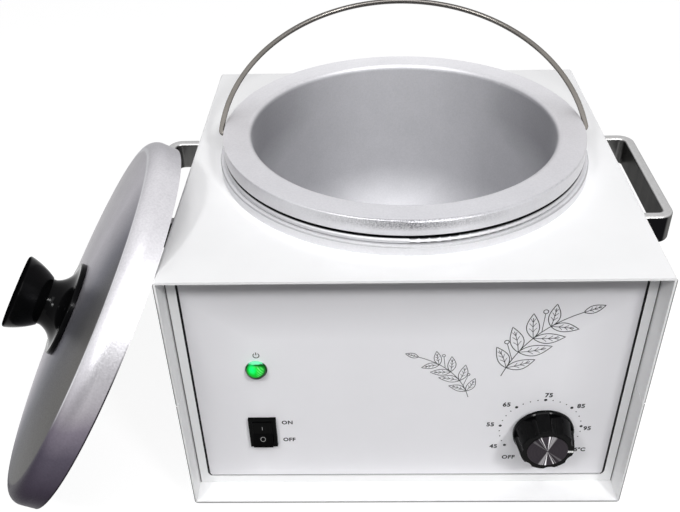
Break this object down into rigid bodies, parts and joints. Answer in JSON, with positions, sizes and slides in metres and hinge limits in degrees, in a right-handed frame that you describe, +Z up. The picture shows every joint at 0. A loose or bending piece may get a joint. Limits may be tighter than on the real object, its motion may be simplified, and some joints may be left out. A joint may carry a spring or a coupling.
{
  "type": "wax warmer",
  "caption": "Square electric wax warmer with a lift-out round pot on a wire bail, a loose domed lid, a thermostat knob, a rocker switch and a pilot lamp.",
  "frame": {"origin": "on the table, under the middle of the square casing", "axes": "+X to the right as seen from the front, +Y to the back, +Z up"},
  "size_m": [0.3837, 0.2871, 0.2224],
  "materials": {
    "white_enamel": "smooth gloss powder coat",
    "panel_white": "printed satin panel",
    "spun_aluminium": "fine satin",
    "handle_metal": "polished",
    "bail_wire": "drawn wire",
    "black_plastic": "moulded gloss",
    "knob_metal": "turned face",
    "pointer_white": "printed line",
    "lamp_green": "faceted lens",
    "black_switch": "moulded satin",
    "foot_rubber": "moulded",
    "fastener_steel": "zinc plated",
    "zinc_sheet": "galvanised sheet",
    "terminal_brass": "plated",
    "copper_tube": "drawn tube",
    "heater_steel": "heat tinted",
    "jacket_fibre": "woven glass fibre",
    "block_ceramic": "unglazed",
    "fuse_white": "sleeved",
    "wire_red": "silicone insulation",
    "wire_blue": "silicone insulation",
    "wire_green": "silicone insulation"
  },
  "bodies": {
    "casing": {"band_heater": "heater_steel", "base_tray": "white_enamel", "bulb_clip": "zinc_sheet", "capillary_tube": "copper_tube", "clamp_ring_screws": "fastener_steel", "cover_screws": "fastener_steel", "earth_stud": "terminal_brass", "earth_wire": "wire_green", "foot_front_left": "foot_rubber", "foot_front_right": "foot_rubber", "foot_rear_left": "foot_rubber", "foot_rear_right": "foot_rubber", "foot_screws": "fastener_steel", "front_bulkhead": "zinc_sheet", "front_frame": "white_enamel", "front_panel": "panel_white", "handle_left": "handle_metal", "handle_right": "handle_metal", "handle_screws": "fastener_steel", "heater_clamp_screw": "fastener_steel", "heater_terminals": "terminal_brass", "heater_well": "spun_aluminium", "inlet_contacts": "terminal_brass", "inlet_screws": "fastener_steel", "insulation_jacket": "jacket_fibre", "lamp_push_nut": "fastener_steel", "live_wires": "wire_red", "neutral_wires": "wire_blue", "pilot_lamp_body": "black_switch", "pilot_lamp_lens": "lamp_green", "power_inlet": "black_switch", "rear_panel": "white_enamel", "rear_panel_screws": "fastener_steel", "sensing_bulb": "copper_tube", "switch_housing": "black_switch", "switch_terminals": "terminal_brass", "terminal_block": "block_ceramic", "terminal_block_screws": "fastener_steel", "thermal_fuse": "fuse_white", "thermal_fuse_clip": "zinc_sheet", "thermostat_body": "zinc_sheet", "thermostat_nut": "fastener_steel", "top_cover": "white_enamel", "trim_ring": "spun_aluminium", "well_clamp_ring": "zinc_sheet"},
    "pot": {"wax_pot": "spun_aluminium"},
    "bail": {"bail_handle": "bail_wire"},
    "lid": {"lid_shell": "spun_aluminium", "lid_knob": "black_plastic", "lid_knob_screw": "fastener_steel", "lid_knob_washer": "fastener_steel"},
    "rocker": {"switch_rocker": "black_switch"},
    "knob": {"control_knob": "black_plastic", "knob_cap": "knob_metal", "knob_pointer": "pointer_white", "thermostat_shaft": "fastener_steel"}
  },
  "joints": [
    {"name": "pot_lift", "type": "slide", "parent": "casing", "child": "pot", "axis": [0, 0, 1], "range_m": [0, 0.2]},
    {"name": "bail_swing", "type": "hinge", "parent": "pot", "child": "bail", "pos_m": [0, 0.0024, 0.1784], "axis": [1, 0, 0], "range_deg": [-27, 158]},
    {"name": "lid_lift", "type": "slide", "parent": "casing", "child": "lid", "axis": [0, 0, 1], "range_m": [0, 0.3]},
    {"name": "switch_rock", "type": "hinge", "parent": "casing", "child": "rocker", "pos_m": [-0.0788, -0.1065, 0.052], "axis": [1, 0, 0], "range_deg": [0, 22]},
    {"name": "knob_turn", "type": "hinge", "parent": "casing", "child": "knob", "pos_m": [0.0743, -0.11, 0.052], "axis": [0, 1, 0], "range_deg": [-239, 37]}
  ]
}
